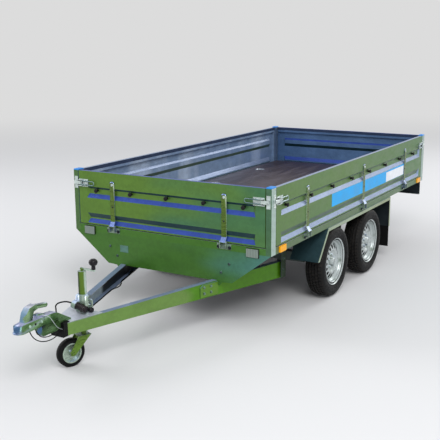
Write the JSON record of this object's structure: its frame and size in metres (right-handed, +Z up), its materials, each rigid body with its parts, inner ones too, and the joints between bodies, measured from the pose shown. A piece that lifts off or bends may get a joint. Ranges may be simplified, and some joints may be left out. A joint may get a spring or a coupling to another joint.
{
  "type": "dropside utility trailer",
  "caption": "Tandem-axle platform utility trailer with hinged drop boards, V drawbar, ball coupling and jockey wheel, parked on its jack.",
  "frame": {"origin": "on the floor, below the middle of the whole trailer's box", "axes": "+X forward to the coupling, +Y left, +Z up"},
  "size_m": [4.834, 1.694, 1.026],
  "materials": {
    "galvanised_steel": "hot-dip galvanised, semi-gloss, reflecting green surroundings",
    "zinc_plated_steel": "bright zinc plated",
    "film_faced_plywood": "brown phenolic film, fine wire-mesh texture",
    "blue_plastic": "moulded, satin",
    "black_plastic": "moulded, matt",
    "black_rubber": "matt rubber",
    "tyre_rubber": "worn tyre rubber",
    "silver_paint": "silver wheel enamel",
    "red_lens": "ribbed lens",
    "clear_lens": "ribbed lens",
    "amber_lens": "ribbed lens"
  },
  "bodies": {
    "chassis": {"platform_frame": "galvanised_steel", "deck": "film_faced_plywood", "corner_posts": "galvanised_steel", "post_caps": "blue_plastic", "hinge_brackets": "zinc_plated_steel", "latch_catches": "zinc_plated_steel", "left_chassis_rail": "galvanised_steel", "right_chassis_rail": "galvanised_steel", "left_drawbar": "galvanised_steel", "right_drawbar": "galvanised_steel", "drawbar_gusset": "galvanised_steel", "apron": "galvanised_steel", "nose_sleeve": "black_rubber", "coupling_head": "zinc_plated_steel", "coupling_lever": "zinc_plated_steel", "front_axle": "galvanised_steel", "rear_axle": "galvanised_steel", "mudguards": "galvanised_steel", "mud_flaps": "black_rubber", "lamp_bar": "galvanised_steel", "rear_lamps": "red_lens", "front_lamps": "clear_lens", "marker_lamps": "amber_lens", "lead": "black_rubber", "plug": "black_plastic", "outer_safety_loop": "black_rubber", "inner_safety_loop": "black_rubber", "release_wire": "zinc_plated_steel", "lashing_rings": "zinc_plated_steel", "jockey_tube": "zinc_plated_steel", "jockey_grip": "black_plastic", "jockey_clamp": "zinc_plated_steel"},
    "front_board": {"front_board": "galvanised_steel", "front_board_fittings": "zinc_plated_steel", "front_board_knobs": "black_plastic"},
    "left_board": {"left_board": "galvanised_steel", "left_board_fittings": "zinc_plated_steel", "left_board_knobs": "black_plastic"},
    "right_board": {"right_board": "galvanised_steel", "right_board_fittings": "zinc_plated_steel", "right_board_knobs": "black_plastic"},
    "tailboard": {"tailboard": "galvanised_steel", "tailboard_fittings": "zinc_plated_steel", "tailboard_knobs": "black_plastic"},
    "front_left_wheel": {"front_left_rim": "silver_paint", "front_left_tyre": "tyre_rubber"},
    "front_right_wheel": {"front_right_rim": "silver_paint", "front_right_tyre": "tyre_rubber"},
    "rear_left_wheel": {"rear_left_rim": "silver_paint", "rear_left_tyre": "tyre_rubber"},
    "rear_right_wheel": {"rear_right_rim": "silver_paint", "rear_right_tyre": "tyre_rubber"},
    "jockey_leg": {"jockey_slide": "zinc_plated_steel"},
    "jockey_caster": {"jockey_fork": "zinc_plated_steel"},
    "jockey_wheel": {"jockey_rim": "zinc_plated_steel", "jockey_tyre": "black_rubber"}
  },
  "joints": [
    {"name": "front_board_hinge", "type": "hinge", "parent": "chassis", "child": "front_board", "pos_m": [0.935, 0, 0.625], "axis": [0, 1, 0], "range_deg": [0, 120]},
    {"name": "left_board_hinge", "type": "hinge", "parent": "chassis", "child": "left_board", "pos_m": [-0.736, 0.837, 0.625], "axis": [-1, 0, 0], "range_deg": [0, 180]},
    {"name": "right_board_hinge", "type": "hinge", "parent": "chassis", "child": "right_board", "pos_m": [-0.736, -0.837, 0.625], "axis": [1, 0, 0], "range_deg": [0, 180]},
    {"name": "tailboard_hinge", "type": "hinge", "parent": "chassis", "child": "tailboard", "pos_m": [-2.407, 0, 0.625], "axis": [0, -1, 0], "range_deg": [0, 180]},
    {"name": "front_left_wheel_spin", "type": "hinge", "parent": "chassis", "child": "front_left_wheel", "pos_m": [-0.167, 0.7605, 0.2735], "axis": [0, 1, 0], "continuous": true},
    {"name": "front_right_wheel_spin", "type": "hinge", "parent": "chassis", "child": "front_right_wheel", "pos_m": [-0.167, -0.7605, 0.2735], "axis": [0, 1, 0], "continuous": true},
    {"name": "rear_left_wheel_spin", "type": "hinge", "parent": "chassis", "child": "rear_left_wheel", "pos_m": [-0.909, 0.7605, 0.2735], "axis": [0, 1, 0], "continuous": true},
    {"name": "rear_right_wheel_spin", "type": "hinge", "parent": "chassis", "child": "rear_right_wheel", "pos_m": [-0.909, -0.7605, 0.2735], "axis": [0, 1, 0], "continuous": true},
    {"name": "jockey_height", "type": "slide", "parent": "chassis", "child": "jockey_leg", "axis": [0, 0, 1], "range_m": [-0.15, 0.018]},
    {"name": "jockey_swivel", "type": "hinge", "parent": "jockey_leg", "child": "jockey_caster", "pos_m": [1.835, 0, 0.2], "axis": [0, 0, 1], "continuous": true},
    {"name": "jockey_wheel_spin", "type": "hinge", "parent": "jockey_caster", "child": "jockey_wheel", "pos_m": [1.92772, -0.03746, 0.09], "axis": [0.3746, 0.9272, 0], "continuous": true}
  ]
}
